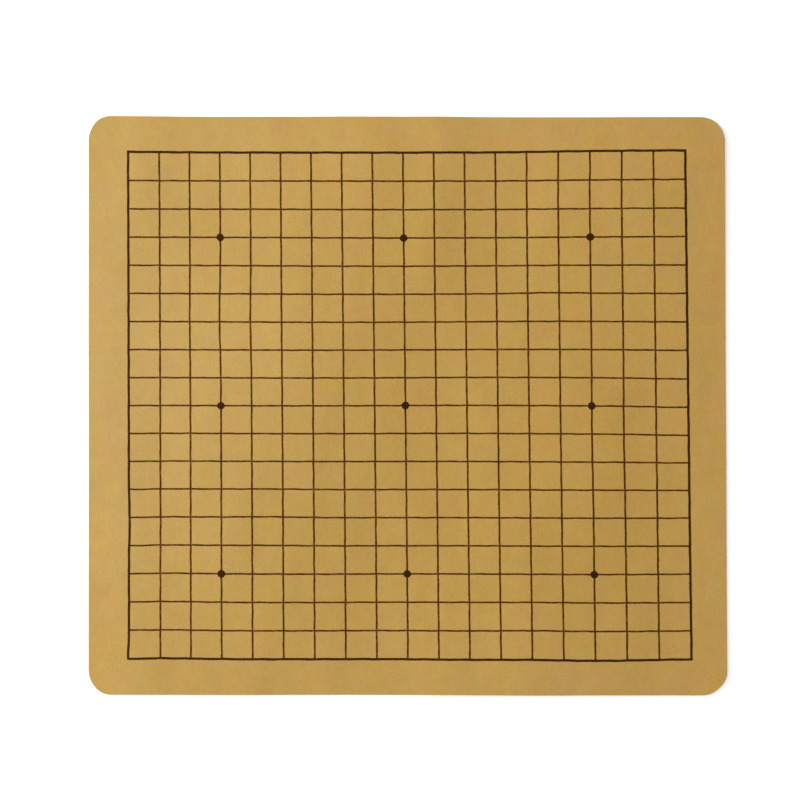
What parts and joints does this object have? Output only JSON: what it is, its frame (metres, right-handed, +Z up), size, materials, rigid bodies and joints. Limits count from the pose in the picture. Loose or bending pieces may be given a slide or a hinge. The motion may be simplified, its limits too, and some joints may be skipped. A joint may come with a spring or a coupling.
{
  "type": "reversible go board",
  "caption": "Flexible roll-up go board of synthetic leather, with a full printed lattice on one face and a small one on the reverse.",
  "frame": {"origin": "centre of the face that the board lies on, which is the reverse face", "axes": "+X along the long side, to the right of the go side as pictured; +Y along the short side, up in the picture; +Z up, out of the go side"},
  "size_m": [0.5042, 0.4574, 0.0016],
  "materials": {
    "go_side_leather": "matt fine-grained tan synthetic leather",
    "reverse_side_leather": "matt fine-grained tan synthetic leather",
    "foam_coat": "soft foamed coat under the skin, seen only at the cut edge",
    "backing_cloth": "plain base cloth, seen only at the cut edge",
    "bonding_film": "clear amber glue film",
    "printing_ink": "matt brown-black screen ink"
  },
  "bodies": {
    "root": {"go_side_print": "printing_ink", "go_side_skin": "go_side_leather", "go_side_foam_coat": "foam_coat", "go_side_backing_cloth": "backing_cloth", "bonding_film": "bonding_film", "reverse_side_backing_cloth": "backing_cloth", "reverse_side_foam_coat": "foam_coat", "reverse_side_skin": "reverse_side_leather", "reverse_side_print": "printing_ink"}
  },
  "joints": []
}
